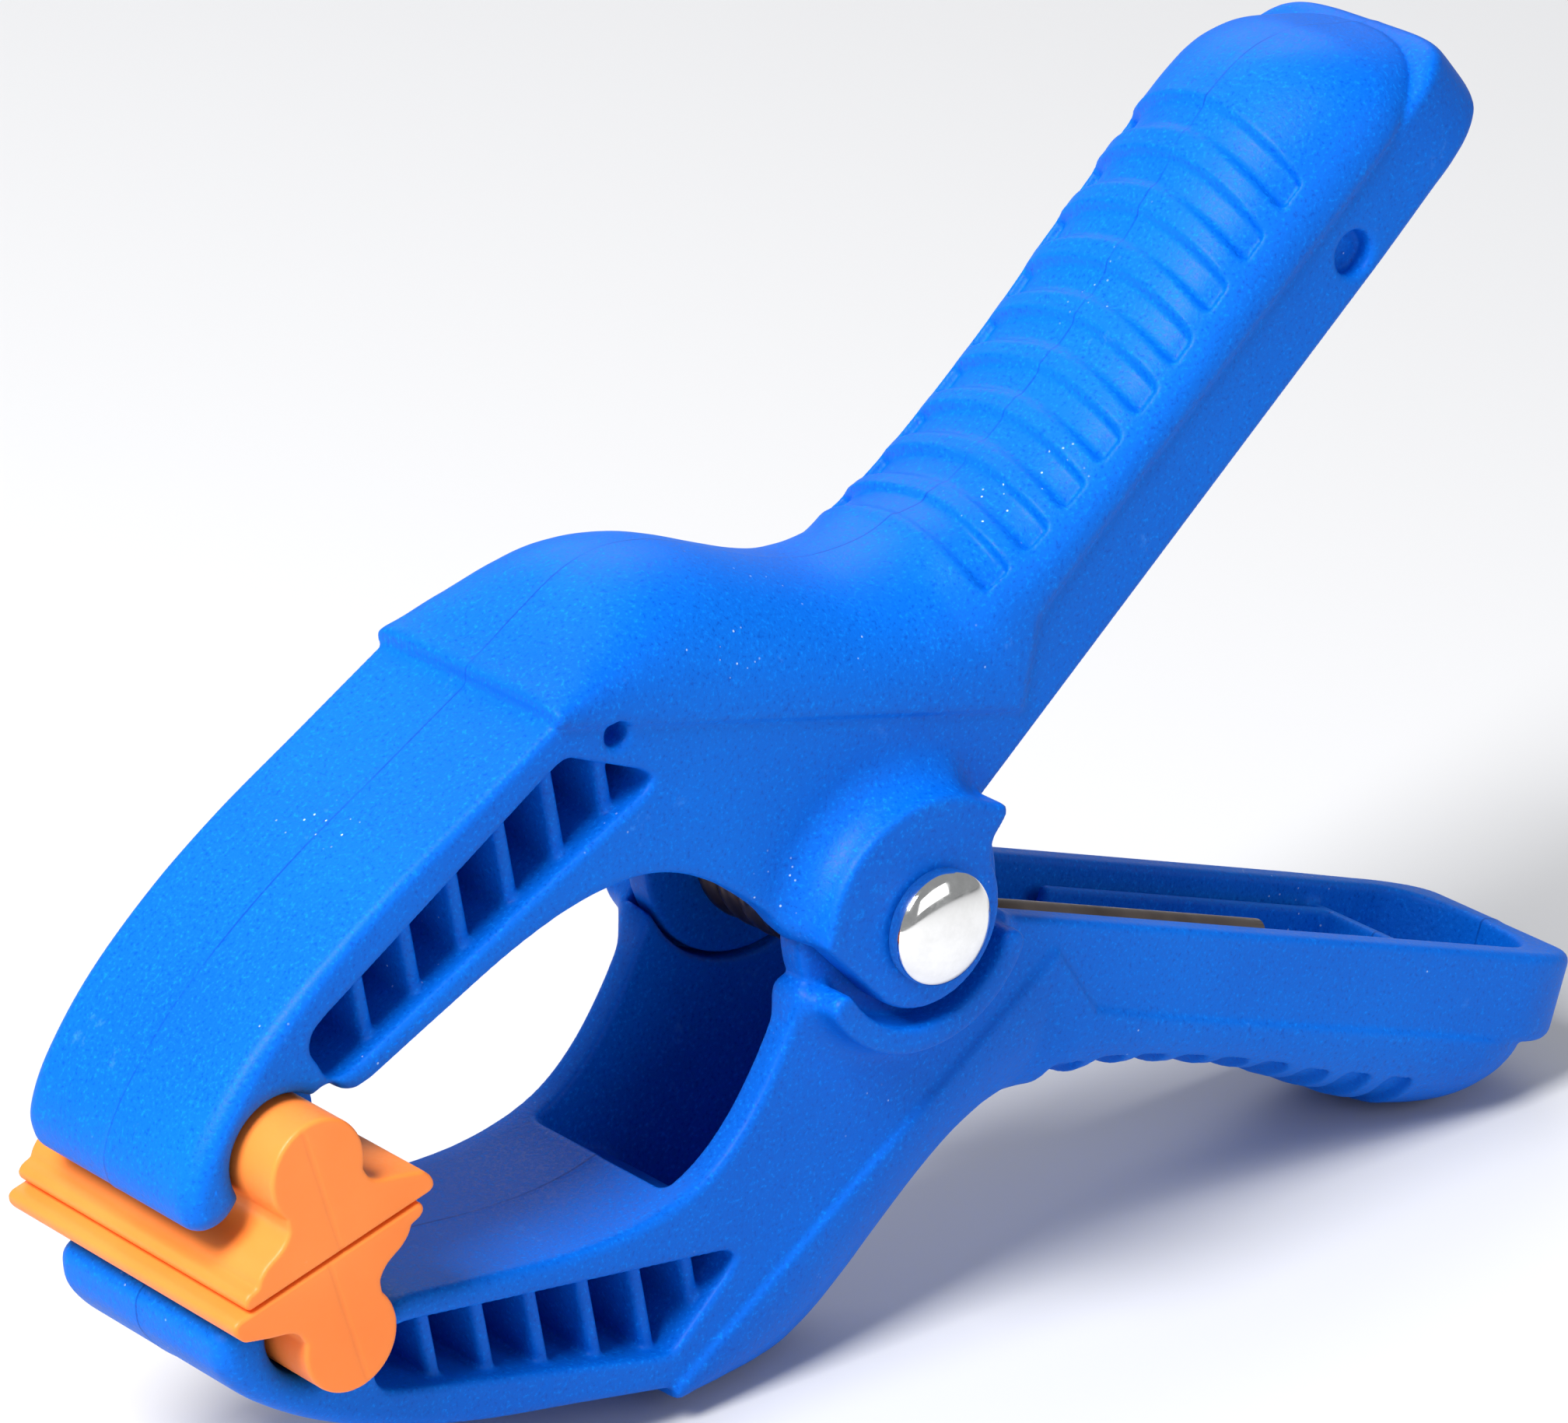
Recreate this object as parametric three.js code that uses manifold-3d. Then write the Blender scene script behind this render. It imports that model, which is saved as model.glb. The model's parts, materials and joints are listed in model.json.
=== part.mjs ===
// Spring clamp: two identical moulded arms on one pivot pin, a torsion spring between
// their cheeks, and a swivelling pad in the tip of each jaw. Millimetres.
//
// Clamp frame: origin on the pivot axis, +X towards the handles, Y along the pivot pin,
// Z across the mouth. The upper arm is modelled in this frame. The lower arm is the same
// moulding turned half a turn about X. The finished clamp is then tipped about Y so that it
// stands on the hump and the grip of its lower arm, with +Z up.
import * as THREE from "three";
import { mergeVertices } from "three/addons/utils/BufferGeometryUtils.js";
import Module from "manifold-3d";

const wasm = await Module();
wasm.setup();

// Widths, half of each, measured along Y
const HALF_BODY = 12.75;
const HALF_GRIP = 13.25;
const HALF_HOLLOW = 9.5;
const HALF_BOSS = 17.1;
const HALF_PAD = 17.2;
const HALF_WEB = 1.5;

// Pivot
const EAR_RADIUS = 11.8;
const EAR_CLEARANCE = 12.3;
const BOSS_RADIUS = 12;
const BOSS_FILLET = 4.2;
const NOSE_RADIUS = 8.4;
const BOSS_INNER_FACE = 13.05;
const GUARD_INNER = 10.2;
const GUARD_OUTER = 12.8;
const PIN_RADIUS = 3;
const PIN_HOLE_RADIUS = 3.08;
const PIN_HEAD_RADIUS = 5.5;
const PIN_HEAD_FACE = 17.4;
const PIN_HEAD_EDGE = 19.2;
const PIN_HEAD_TOP = 20.6;

// Handles: angle of each handle's inner edge to X, and its length from the pivot axis
const HANDLE_ANGLE = THREE.MathUtils.degToRad(29.5);
const HANDLE_LENGTH = 95.5;
const SKIN = 2.8;
const GROOVE_COUNT = 9;
const GROOVE_START = 27.8;
const GROOVE_PITCH = 5.65;
const GROOVE_WIDTH = 3.2;
const GROOVE_DEPTH = 0.9;

// Jaw tip and pad
const BEAD_X = -68.6;
const BEAD_Z = 8.7;
const BEAD_RADIUS = 5;
const SOCKET_RADIUS = 5.35;
const PAD_TILT = THREE.MathUtils.degToRad(5);
const PAD_GAP = 0.3;
const PAD_HALF_FACE = 10;

// Spring
const WIRE_RADIUS = 1.3;
const COIL_RADIUS = 6.2;
const LEG_Y = 7.85;
const LEG_DEPTH = 1.05;
const LEG_BEND = 14;
const LEG_END = 52;
const COIL_TURNS = 5;

const blue = { color: 0x0a5fd6, roughness: 0.55, metalness: 0 };
const orange = { color: 0xff8a3c, roughness: 0.5, metalness: 0 };
const nickel = { color: 0xd9d9dc, roughness: 0.12, metalness: 1 };
const springSteel = { color: 0x7d7168, roughness: 0.4, metalness: 1 };

const v2 = (x, z) => new THREE.Vector2(x, z);
const radians = THREE.MathUtils.degToRad;

// A point on the handle: s along its inner edge from the pivot axis, h outwards from that edge
function onHandle(s, h) {
  const c = Math.cos(HANDLE_ANGLE);
  const d = Math.sin(HANDLE_ANGLE);
  return v2(s * c - h * d, s * d + h * c);
}

// Closed geometry to solid, with its faces turned outwards
function solid(geometry) {
  const bare = geometry.clone();
  bare.deleteAttribute("normal");
  bare.deleteAttribute("uv");
  const merged = mergeVertices(bare, 1e-4);
  const build = (index) => new wasm.Manifold(new wasm.Mesh({
    numProp: 3,
    vertProperties: new Float32Array(merged.attributes.position.array),
    triVerts: new Uint32Array(index),
  }));
  const index = Array.from(merged.index.array);
  const first = build(index);
  if (first.volume() > 0) return first;
  const turned = [];
  for (let i = 0; i < index.length; i += 3) {
    turned.push(index[i], index[i + 2], index[i + 1]);
  }
  return build(turned);
}

function mesh(name, body, look) {
  const data = body.getMesh();
  const geometry = new THREE.BufferGeometry();
  geometry.setAttribute("position", new THREE.BufferAttribute(data.vertProperties, 3));
  geometry.setIndex(new THREE.BufferAttribute(data.triVerts, 1));
  geometry.computeVertexNormals();
  const result = new THREE.Mesh(geometry, new THREE.MeshStandardMaterial(look));
  result.name = name;
  return result;
}

// Outline in XZ given thickness from y0 to y1
function plate(outline, y0, y1, curveSegments = 8) {
  const geometry = new THREE.ExtrudeGeometry(outline, {
    depth: y1 - y0,
    bevelEnabled: false,
    curveSegments,
  });
  geometry.rotateX(Math.PI / 2);
  geometry.translate(0, y1, 0);
  return solid(geometry);
}

function polygon(points) {
  return new THREE.Shape(points);
}

// Smooth run of an outline through points, from the outline's current point
function smoothTo(outline, points, divisions) {
  const curve = new THREE.SplineCurve([outline.currentPoint.clone(), ...points]);
  for (const p of curve.getPoints(divisions).slice(1)) outline.lineTo(p.x, p.y);
}

function roundBar(radius, y0, y1, x = 0, z = 0, sides = 24) {
  const geometry = new THREE.CylinderGeometry(radius, radius, y1 - y0, sides);
  geometry.translate(x, (y0 + y1) / 2, z);
  return solid(geometry);
}

function turned(profile, sides = 28) {
  return solid(new THREE.LatheGeometry(profile, sides));
}

// Skin through a row of closed rings, with flat ends
function loft(rings) {
  const count = rings[0].length;
  const positions = [];
  const index = [];
  for (const ring of rings) {
    for (const point of ring) positions.push(point.x, point.y, point.z);
  }
  for (let i = 0; i + 1 < rings.length; i += 1) {
    for (let k = 0; k < count; k += 1) {
      const a = i * count + k;
      const b = i * count + ((k + 1) % count);
      index.push(a, b, a + count, b, b + count, a + count);
    }
  }
  const last = (rings.length - 1) * count;
  for (let k = 1; k + 1 < count; k += 1) {
    index.push(0, k + 1, k, last, last + k, last + k + 1);
  }
  const geometry = new THREE.BufferGeometry();
  geometry.setAttribute("position", new THREE.Float32BufferAttribute(positions, 3));
  geometry.setIndex(index);
  return solid(geometry);
}

// Grip: each station has a foot on the side face, a crest on the centre line, a half width
// and the squareness of the curve that joins them.
const gripStations = [
  { foot: v2(-33.5, 34.7), crest: v2(-33.5, 36.3), half: 13.1, square: 6 },
  { foot: v2(-31.5, 34.1), crest: v2(-31, 37.3), half: 13.25, square: 4.5 },
  { foot: v2(-28, 32.6), crest: v2(-26.8, 39.1), half: 13.25, square: 3.4 },
  { foot: v2(-23, 30.4), crest: v2(-21.8, 40.9), half: 13.25, square: 2.7 },
  { foot: v2(-18, 28.2), crest: v2(-17.4, 41.2), half: 13.25, square: 2.4 },
  { foot: v2(-13, 26), crest: v2(-12.9, 40), half: 13.25, square: 2.3 },
  { foot: v2(-8, 23.8), crest: v2(-9, 38), half: 13.25, square: 2.3 },
  { foot: v2(-3, 21.6), crest: v2(-4.6, 35.2), half: 13.25, square: 2.3 },
  { foot: v2(2, 19.4), crest: v2(0, 32.4), half: 13.25, square: 2.3 },
  { foot: v2(7, 17.2), crest: v2(4.2, 30.4), half: 13.25, square: 2.3 },
  { foot: v2(12.5, 14.8), crest: v2(8, 29.5), half: 13.25, square: 2.3 },
  { foot: v2(17, 12.8), crest: v2(11.2, 29.2), half: 13.25, square: 2.4 },
  { foot: v2(18.6, 16.9), crest: v2(13.6, 29.4), half: 13.25, square: 2.5 },
  { foot: v2(20.2, 20.9), crest: v2(16, 30), half: 13.25, square: 2.6 },
  { foot: onHandle(32, 8.6), crest: onHandle(32, 16.4), half: 13.25, square: 2.8 },
  { foot: onHandle(37, 8.6), crest: onHandle(37, 15.4), half: 13.25, square: 2.8 },
  { foot: onHandle(43, 8.6), crest: onHandle(43, 15), half: 13.25, square: 2.8 },
  { foot: onHandle(50, 8.6), crest: onHandle(50, 15), half: 13.25, square: 2.8 },
  { foot: onHandle(56, 8.6), crest: onHandle(56, 15.4), half: 13.25, square: 2.8 },
  { foot: onHandle(62, 8.6), crest: onHandle(62, 16.4), half: 13.25, square: 2.8 },
  { foot: onHandle(68, 8.6), crest: onHandle(68, 17.4), half: 13.25, square: 2.5 },
  { foot: onHandle(74, 8.6), crest: onHandle(74, 18.4), half: 13.2, square: 2.3 },
  { foot: onHandle(79, 8.7), crest: onHandle(79, 18.8), half: 13, square: 2.2 },
  { foot: onHandle(83.5, 9.3), crest: onHandle(83, 18.3), half: 12.3, square: 2.15 },
  { foot: onHandle(87, 9.4), crest: onHandle(86.5, 17), half: 11.4, square: 2.1 },
  { foot: onHandle(90, 9), crest: onHandle(89.6, 15), half: 10.2, square: 2.1 },
  { foot: onHandle(92.6, 8), crest: onHandle(92.2, 12.4), half: 8.4, square: 2.1 },
  { foot: onHandle(94.2, 6.8), crest: onHandle(93.9, 9.6), half: 6, square: 2.1 },
];

// Stance: the angle between the clamp's own X axis and the table, from the two crests of
// the lower arm that touch it
const humpRest = gripStations[3].crest;
const gripRest = gripStations[23].crest;
const STANCE = Math.atan2(gripRest.y - humpRest.y, gripRest.x - humpRest.x);

// Angles that shape half of a grip ring, from the side face to the edge of its flat crest
const RING_ANGLES = [0, 20, 38, 54, 66, 75].map(radians);

// One ring of the grip: up over the crest, then closed below its foot.
// sink lowers the crest towards the foot; below carries the ring's underside past the foot.
function gripRing(station, half, sink, below) {
  const rise = station.crest.clone().sub(station.foot);
  const height = rise.length();
  const up = rise.clone().divideScalar(height);
  const top = Math.max(height - sink, 0.4);
  const power = 2 / station.square;
  const ring = [];
  const place = (y, h) => {
    const p = station.foot.clone().addScaledVector(up, h);
    ring.push(new THREE.Vector3(p.x, y, p.y));
  };
  if (below > 0) place(-half, -below);
  const full = Math.sin(RING_ANGLES[5]) ** power;
  for (const side of [-1, 1]) {
    const angles = side < 0 ? RING_ANGLES : RING_ANGLES.slice().reverse();
    for (const angle of angles) {
      place(side * half * Math.cos(angle) ** power, (top * Math.sin(angle) ** power) / full);
    }
  }
  if (below > 0) place(half, -below);
  return ring;
}

function grip() {
  return loft(gripStations.map((station) => gripRing(station, station.half, 0, 0)));
}

// Space inside the grip, one skin thickness below its surface
function gripHollow() {
  const inner = gripStations.slice(3, 24);
  const ratio = (HALF_HOLLOW - 0.3) / HALF_GRIP;
  return loft(inner.map((station) => gripRing(station, station.half * ratio, SKIN, 4)));
}

// Side view of the arm without its grip
function bodyOutline() {
  const outline = new THREE.Shape();
  outline.moveTo(-61, 11.3);
  outline.lineTo(-58.6, 11.2);
  smoothTo(outline, [
    v2(-50, 13.7), v2(-42, 15.9), v2(-35, 17), v2(-29, 16.8),
    v2(-24.4, 15.4), v2(-20, 12.4), v2(-15.6, 7.8), v2(-11.6, 2.2),
  ], 14);
  outline.absarc(0, 0, EAR_RADIUS, radians(169), radians(360) + HANDLE_ANGLE, false);
  const tip = [onHandle(84, 0), onHandle(94.4, 0.2), onHandle(HANDLE_LENGTH, 6.8)];
  outline.lineTo(tip[0].x, tip[0].y);
  outline.quadraticCurveTo(tip[1].x, tip[1].y, tip[2].x, tip[2].y);
  const top = [onHandle(95.2, 9), onHandle(91.4, 10.2), onHandle(84, 9.8)];
  outline.quadraticCurveTo(top[0].x, top[0].y, top[1].x, top[1].y);
  outline.lineTo(top[2].x, top[2].y);
  for (const [s, h] of [[79, 10], [33, 10.2], [30, 9.8]]) {
    const p = onHandle(s, h);
    outline.lineTo(p.x, p.y);
  }
  outline.lineTo(16, 15.3);
  outline.lineTo(-31, 34.9);
  outline.lineTo(-33.2, 35);
  smoothTo(outline, [
    v2(-44, 31), v2(-54, 27.3), v2(-63, 23.1), v2(-70.5, 18.5), v2(-76.3, 13.4),
    v2(-79, 9.4), v2(-79.2, 6.6),
  ], 10);
  outline.quadraticCurveTo(-79, 5, -77.2, 4.9);
  outline.quadraticCurveTo(-75, 4.9, -73.6, 6.6);
  outline.absarc(BEAD_X, BEAD_Z, SOCKET_RADIUS, radians(203), radians(38), true);
  outline.lineTo(-63.4, 12.4);
  outline.quadraticCurveTo(-62.2, 12.2, -61, 11.3);
  return outline;
}

// Plan of the handle's end, seen square to its inner edge: a rounded tip
function tipTrim() {
  const plan = new THREE.Shape();
  plan.moveTo(-120, -HALF_BOSS - 1);
  plan.lineTo(60, -HALF_BOSS - 1);
  plan.lineTo(60, -HALF_BODY);
  plan.lineTo(86, -HALF_BODY);
  plan.bezierCurveTo(93, -HALF_BODY, HANDLE_LENGTH, -11.4, HANDLE_LENGTH, -3.5);
  plan.lineTo(HANDLE_LENGTH, 3.5);
  plan.bezierCurveTo(HANDLE_LENGTH, 11.4, 93, HALF_BODY, 86, HALF_BODY);
  plan.lineTo(60, HALF_BODY);
  plan.lineTo(60, HALF_BOSS + 1);
  plan.lineTo(-120, HALF_BOSS + 1);
  const geometry = new THREE.ExtrudeGeometry(plan, {
    depth: 160,
    bevelEnabled: false,
    curveSegments: 5,
  });
  geometry.translate(0, 0, -80);
  geometry.rotateY(-HANDLE_ANGLE);
  return solid(geometry);
}

// Space between the cheeks, open to the mouth and along the handle's inner edge
function channelOutline() {
  const p = (s, h) => onHandle(s, h);
  return polygon([
    v2(-28.6, 17.5), v2(-28.6, 8), v2(-12, -14), v2(12, -14),
    p(14, -3), p(90.5, -3), p(90.5, 3), p(88.5, 7), p(84, 9.5),
    p(30, 9), v2(14, 15), v2(-20.6, 30), v2(-20.6, 25.5), v2(-22, 23.6), v2(-26.5, 21),
  ]);
}

function pocketOutline() {
  const outline = new THREE.Shape();
  outline.moveTo(-62.6, 13.6);
  outline.quadraticCurveTo(-61.4, 12.6, -59.6, 13.5);
  outline.lineTo(-26, 24);
  outline.quadraticCurveTo(-23, 25, -25, 26.4);
  outline.lineTo(-32, 30.8);
  outline.quadraticCurveTo(-33.4, 31.6, -35.2, 30.6);
  outline.lineTo(-62.4, 19.4);
  outline.quadraticCurveTo(-65.6, 17.6, -62.6, 13.6);
  return outline;
}

// Side pockets of the jaw with their upright ribs, one side
function pocket(side) {
  const deep = side * HALF_WEB;
  const face = side * (HALF_BODY + 1);
  let space = plate(pocketOutline(), Math.min(deep, face), Math.max(deep, face), 3);
  const ribFace = side * (HALF_BODY - 2);
  for (let i = 0; i < 6; i += 1) {
    const x = -57 + 5.75 * i;
    const rib = polygon([v2(x - 0.7, 8), v2(x + 0.7, 8), v2(x + 0.7, 36), v2(x - 0.7, 36)]);
    const from = Math.min(side, ribFace);
    const to = Math.max(side, ribFace);
    space = space.subtract(plate(rib, from, to));
  }
  return space;
}

// Round boss that carries the pin head, on the arm's outer cheek, with its hollow fillet
function boss() {
  const outline = new THREE.Shape();
  outline.absarc(0, 0, BOSS_RADIUS, radians(32), radians(167), false);
  outline.lineTo(NOSE_RADIUS * Math.cos(radians(222)), NOSE_RADIUS * Math.sin(radians(222)));
  outline.absarc(0, 0, NOSE_RADIUS, radians(222), radians(376), false);
  outline.quadraticCurveTo(8.4, 4.6, 10.17, 6.36);
  const disc = plate(outline, -HALF_BOSS, -BOSS_INNER_FACE, 9);
  const profile = [v2(BOSS_RADIUS - 0.1, -HALF_BOSS), v2(BOSS_RADIUS, -HALF_BOSS)];
  const drop = HALF_BOSS - HALF_BODY;
  for (let i = 1; i <= 3; i += 1) {
    const angle = (Math.PI / 2) * (i / 3);
    const out = BOSS_RADIUS + BOSS_FILLET * (1 - Math.cos(angle));
    profile.push(v2(out, -HALF_BOSS + drop * Math.sin(angle)));
  }
  profile.push(v2(BOSS_RADIUS + BOSS_FILLET, -HALF_BODY + 1));
  profile.push(v2(BOSS_RADIUS - 0.1, -HALF_BODY + 1));
  profile.push(profile[0].clone());
  const ring = turned(profile, 30).intersect(plate(bodyOutline(), -HALF_BOSS - 1, 0));
  return disc.add(ring);
}

// Curved guard on the inner cheek, round the nose of the other arm's boss
function guard() {
  const outline = new THREE.Shape();
  outline.absarc(0, 0, GUARD_OUTER, radians(33), radians(163), false);
  outline.absarc(0, 0, GUARD_INNER, radians(163), radians(33), true);
  return plate(outline, HALF_BODY - 1, HALF_BOSS, 7);
}

// Rear hook of the pad socket, in the middle of the jaw only
function socketHook() {
  const outline = new THREE.Shape();
  outline.absarc(BEAD_X, BEAD_Z, SOCKET_RADIUS, radians(60), radians(-8), true);
  outline.absarc(BEAD_X, BEAD_Z, SOCKET_RADIUS + 1.8, radians(-8), radians(60), false);
  return plate(outline, -7, 7, 3);
}

function grooves() {
  let bands = null;
  for (let i = 0; i < GROOVE_COUNT; i += 1) {
    const s = GROOVE_START + GROOVE_PITCH * i;
    const band = plate(polygon([
      onHandle(s, 12.6), onHandle(s + GROOVE_WIDTH, 12.6),
      onHandle(s + GROOVE_WIDTH, 24), onHandle(s, 24),
    ]), -HALF_GRIP + 0.5, HALF_GRIP - 0.5);
    bands = bands ? bands.add(band) : band;
  }
  const core = gripStations.slice(11, 24);
  const floor = loft(core.map((station) => {
    return gripRing(station, station.half - GROOVE_DEPTH, GROOVE_DEPTH, 1.5);
  }));
  return bands.subtract(floor);
}

// Stiffening ribs in the handle's channel: one along it, three across, and the seat that
// the spring's leg bears on. Each runs into the skin.
function channelRibs() {
  let ribs = plate(polygon([
    onHandle(38, 2.2), onHandle(78, 2.2), onHandle(78, 15.5), onHandle(38, 13.2),
  ]), -8.2, -6.6);
  for (const [s, low, high] of [[38, 5, 13.6], [57.5, 5, 13.9], [78, 2.2, 16.5]]) {
    ribs = ribs.add(plate(polygon([
      onHandle(s - 0.8, low), onHandle(s + 0.8, low),
      onHandle(s + 0.8, high), onHandle(s - 0.8, high),
    ]), -HALF_HOLLOW - 0.3, HALF_HOLLOW + 0.3));
  }
  const seatTop = LEG_DEPTH + WIRE_RADIUS + 0.3;
  return ribs.add(plate(polygon([
    onHandle(46, seatTop), onHandle(54, seatTop), onHandle(54, 13), onHandle(46, 13),
  ]), 6.4, HALF_HOLLOW + 0.3));
}

function arm() {
  let body = plate(bodyOutline(), -HALF_BODY, HALF_BODY, 5).intersect(tipTrim());
  body = body.add(grip());
  const inside = plate(channelOutline(), -HALF_HOLLOW, HALF_HOLLOW).add(gripHollow());
  body = body.subtract(inside).add(channelRibs());
  body = body.add(boss());
  body = body.subtract(roundBar(EAR_CLEARANCE, -BOSS_INNER_FACE, -HALF_HOLLOW + 0.5, 0, 0, 32));
  body = body.add(guard());
  body = body.subtract(pocket(1)).subtract(pocket(-1));
  body = body.add(socketHook());
  body = body.subtract(grooves());
  body = body.subtract(roundBar(PIN_HOLE_RADIUS, -HALF_BOSS - 1, HALF_BOSS + 1, 0, 0, 20));
  const largeHole = onHandle(74.5, 3.6);
  body = body.subtract(roundBar(2.2, -HALF_BODY - 1, -10.7, largeHole.x, largeHole.y, 12));
  body = body.subtract(roundBar(1.2, -HALF_BODY - 1, -HALF_BODY + 3, -27.3, 31, 8));
  return body;
}

// Pad: round bead for the socket, waist, and a wide face with thin wings
function pad() {
  const reach = BEAD_Z * Math.cos(PAD_TILT) - PAD_GAP / 2;
  const outline = new THREE.Shape();
  outline.moveTo(-PAD_HALF_FACE, -reach);
  outline.lineTo(PAD_HALF_FACE, -reach);
  outline.lineTo(PAD_HALF_FACE + 0.5, -reach + 1.2);
  outline.lineTo(PAD_HALF_FACE - 0.6, -reach + 2.4);
  outline.quadraticCurveTo(5, -5.2, 4.1, -2.85);
  outline.absarc(0, 0, BEAD_RADIUS, radians(-34.8), radians(214.8), false);
  outline.quadraticCurveTo(-5, -5.2, -PAD_HALF_FACE + 0.6, -reach + 2.4);
  outline.lineTo(-PAD_HALF_FACE - 0.5, -reach + 1.2);
  const moulding = plate(outline, -HALF_PAD, HALF_PAD, 7);
  // The bead stops at the far cheek; only the wings run on past it
  const beyond = plate(polygon([v2(-8, -3.6), v2(8, -3.6), v2(8, 8), v2(-8, 8)]),
    HALF_BODY + 0.2, HALF_PAD + 1);
  return moulding.subtract(beyond);
}

function pin() {
  const profile = [v2(0, -PIN_HEAD_TOP)];
  for (let i = 1; i <= 3; i += 1) {
    const angle = (Math.PI / 2) * (i / 3);
    const rise = (PIN_HEAD_TOP - PIN_HEAD_EDGE) * Math.cos(angle);
    profile.push(v2(PIN_HEAD_RADIUS * Math.sin(angle), -PIN_HEAD_EDGE - rise));
  }
  profile.push(v2(PIN_HEAD_RADIUS, -PIN_HEAD_FACE));
  profile.push(v2(PIN_RADIUS, -PIN_HEAD_FACE));
  profile.push(v2(PIN_RADIUS, 18.6));
  profile.push(v2(PIN_RADIUS - 0.6, 19.2));
  profile.push(v2(0, 19.2));
  return turned(profile, 20);
}

// Push-on cap that holds the pin's plain end
function cap() {
  const profile = [v2(0, 19.5), v2(PIN_HOLE_RADIUS, 19.5), v2(PIN_HOLE_RADIUS, PIN_HEAD_FACE)];
  profile.push(v2(PIN_HEAD_RADIUS, PIN_HEAD_FACE));
  for (let i = 3; i >= 1; i -= 1) {
    const angle = (Math.PI / 2) * (i / 3);
    const rise = (PIN_HEAD_TOP - PIN_HEAD_EDGE) * Math.cos(angle);
    profile.push(v2(PIN_HEAD_RADIUS * Math.sin(angle), PIN_HEAD_EDGE + rise));
  }
  profile.push(v2(0, PIN_HEAD_TOP));
  return turned(profile, 20);
}

// Wire line of the spring: lower leg, coil, upper leg
function springLine() {
  const points = [];
  const legAt = (s, h, side) => {
    const p = onHandle(s, h);
    points.push(new THREE.Vector3(p.x, side * LEG_Y, side * p.y));
  };
  const bend = Math.hypot(LEG_BEND, LEG_DEPTH);
  const lean = Math.atan2(LEG_DEPTH, LEG_BEND) + Math.acos(COIL_RADIUS / bend);
  const leave = HANDLE_ANGLE + lean;
  const legPoints = [[LEG_END, 0], [40, 0], [28, 0], [19, 0], [16, 0.12], [13.2, 0.7], [8, 2.3]];
  for (const [s, rise] of legPoints) legAt(s, LEG_DEPTH + rise, -1);
  const sweep = 2 * Math.PI * (COIL_TURNS + 1) - 2 * leave;
  const steps = COIL_TURNS * 16 + 7;
  for (let i = 0; i <= steps; i += 1) {
    const angle = -leave - (sweep * i) / steps;
    const y = -LEG_Y + (2 * LEG_Y * i) / steps;
    points.push(new THREE.Vector3(COIL_RADIUS * Math.cos(angle), y, COIL_RADIUS * Math.sin(angle)));
  }
  for (const [s, rise] of legPoints.slice().reverse()) legAt(s, LEG_DEPTH + rise, 1);
  return points;
}

function spring() {
  const line = springLine();
  const curve = new THREE.CatmullRomCurve3(line, false, "centripetal");
  const section = new THREE.Shape();
  section.absarc(0, 0, WIRE_RADIUS, 0, 2 * Math.PI, false);
  const geometry = new THREE.ExtrudeGeometry(section, {
    steps: 118,
    curveSegments: 3,
    extrudePath: curve,
  });
  return solid(geometry);
}

const armSolid = arm();
const upperArm = mesh("upper_arm", armSolid, blue);
const lowerArm = mesh("lower_arm", armSolid, blue);
lowerArm.rotation.x = Math.PI;

const padSolid = pad();
const upperPad = mesh("upper_pad", padSolid, orange);
upperPad.position.set(BEAD_X, 0, BEAD_Z);
upperPad.rotation.y = -PAD_TILT;
const lowerPad = mesh("lower_pad", padSolid, orange);
lowerPad.position.set(BEAD_X, 0, -BEAD_Z);
lowerPad.rotation.y = Math.PI - PAD_TILT;

const clamp = new THREE.Group();
clamp.add(upperArm, lowerArm, upperPad, lowerPad);
clamp.add(mesh("pivot_pin", pin(), nickel));
clamp.add(mesh("pin_cap", cap(), nickel));
clamp.add(mesh("torsion_spring", spring(), springSteel));
clamp.rotation.y = -STANCE;
clamp.updateMatrixWorld(true);

// Stand the clamp on z = 0 with the middle of its footprint at the origin
const extent = new THREE.Box3().setFromObject(clamp, true);
clamp.position.x -= (extent.min.x + extent.max.x) / 2;
clamp.position.y -= (extent.min.y + extent.max.y) / 2;
clamp.position.z -= extent.min.z;

const springClamp = new THREE.Group();
springClamp.add(clamp);
export default springClamp;
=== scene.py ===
import itertools
import json
import math

import bmesh
import bpy
import numpy as np
from mathutils import Matrix, Vector


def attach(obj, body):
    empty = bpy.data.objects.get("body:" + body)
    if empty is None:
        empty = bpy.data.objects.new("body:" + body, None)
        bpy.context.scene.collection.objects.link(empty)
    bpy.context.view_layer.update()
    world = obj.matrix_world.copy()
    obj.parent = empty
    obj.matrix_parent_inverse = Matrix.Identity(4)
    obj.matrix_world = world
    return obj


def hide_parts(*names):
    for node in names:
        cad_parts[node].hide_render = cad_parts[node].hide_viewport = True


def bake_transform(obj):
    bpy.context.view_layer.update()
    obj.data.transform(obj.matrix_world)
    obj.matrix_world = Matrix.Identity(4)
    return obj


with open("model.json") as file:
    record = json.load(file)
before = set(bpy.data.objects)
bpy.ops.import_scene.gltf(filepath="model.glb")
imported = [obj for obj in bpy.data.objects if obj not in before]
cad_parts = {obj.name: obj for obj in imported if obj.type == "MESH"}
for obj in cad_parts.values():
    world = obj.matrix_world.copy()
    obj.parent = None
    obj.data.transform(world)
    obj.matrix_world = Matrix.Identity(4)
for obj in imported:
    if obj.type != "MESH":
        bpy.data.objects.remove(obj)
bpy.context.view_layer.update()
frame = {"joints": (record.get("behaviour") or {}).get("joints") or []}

# Shapes are made in the clamp's own frame, in millimetres: origin on the pivot axis, X towards
# the handles, Y along the pin, Z across the mouth. The joints of the frame say where that is.

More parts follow.
